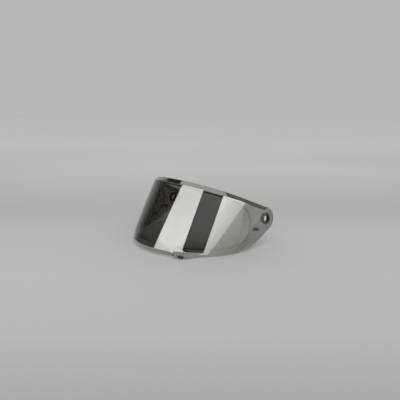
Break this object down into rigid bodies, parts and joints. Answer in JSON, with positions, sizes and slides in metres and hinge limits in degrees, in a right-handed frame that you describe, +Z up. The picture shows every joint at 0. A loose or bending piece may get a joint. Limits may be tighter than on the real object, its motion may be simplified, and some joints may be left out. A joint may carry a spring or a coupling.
{
  "type": "motorcycle helmet visor",
  "caption": "Curved mirrored smoke visor with pivot bushes in its ears, an anti-fog insert on turning pins, and a thumb tab with a sliding lock.",
  "frame": {"origin": "centre of the footprint box, on the surface that the visor rests on", "axes": "-Y the way the wearer looks, +X the wearer's left, +Z up, standing as it rests on a table on its thumb tab and its two sides"},
  "size_m": [0.2484, 0.188, 0.1143],
  "materials": {
    "mirror_sheet": "silver mirror coat on smoke polycarbonate",
    "antifog_film": "clear smoke, smooth",
    "silicone_bead": "dark grey silicone",
    "black_nylon": "fine moulded satin",
    "pin_plastic": "dark grey satin",
    "black_rubber": "matt rubber",
    "zinc_steel": "bright zinc"
  },
  "bodies": {
    "visor": {"visor_shell": "mirror_sheet", "antifog_insert": "antifog_film", "antifog_bead": "silicone_bead", "pivot_bush_left": "black_nylon", "pivot_gasket_left": "black_rubber", "pivot_ring_left": "black_nylon", "pin_washer_left": "black_rubber", "pivot_bush_right": "black_nylon", "pivot_gasket_right": "black_rubber", "pivot_ring_right": "black_nylon", "pin_washer_right": "black_rubber", "lock_guide": "black_nylon", "lock_spring": "zinc_steel", "guide_screw_front": "zinc_steel", "guide_screw_rear": "zinc_steel"},
    "pin_left": {"insert_pin_left": "pin_plastic", "pin_cap_left": "pin_plastic"},
    "pin_right": {"insert_pin_right": "pin_plastic", "pin_cap_right": "pin_plastic"},
    "slider": {"lock_slider": "black_nylon"}
  },
  "joints": [
    {"name": "insert_pin_left_turn", "type": "hinge", "parent": "visor", "child": "pin_left", "pos_m": [0.1198, 0.04931, 0.03186], "axis": [0.9748, -0.1562, 0.1591], "range_deg": [0, 180]},
    {"name": "insert_pin_right_turn", "type": "hinge", "parent": "visor", "child": "pin_right", "pos_m": [-0.1198, 0.04931, 0.03186], "axis": [0.9748, 0.1562, -0.1591], "range_deg": [0, 180]},
    {"name": "lock_slide", "type": "slide", "parent": "visor", "child": "slider", "axis": [-0.7995, -0.5935, 0.0918], "range_m": [0, 0.0032], "stiffness_N_per_m": 300, "springref_m": -0.003, "deforming": ["lock_spring"]}
  ]
}
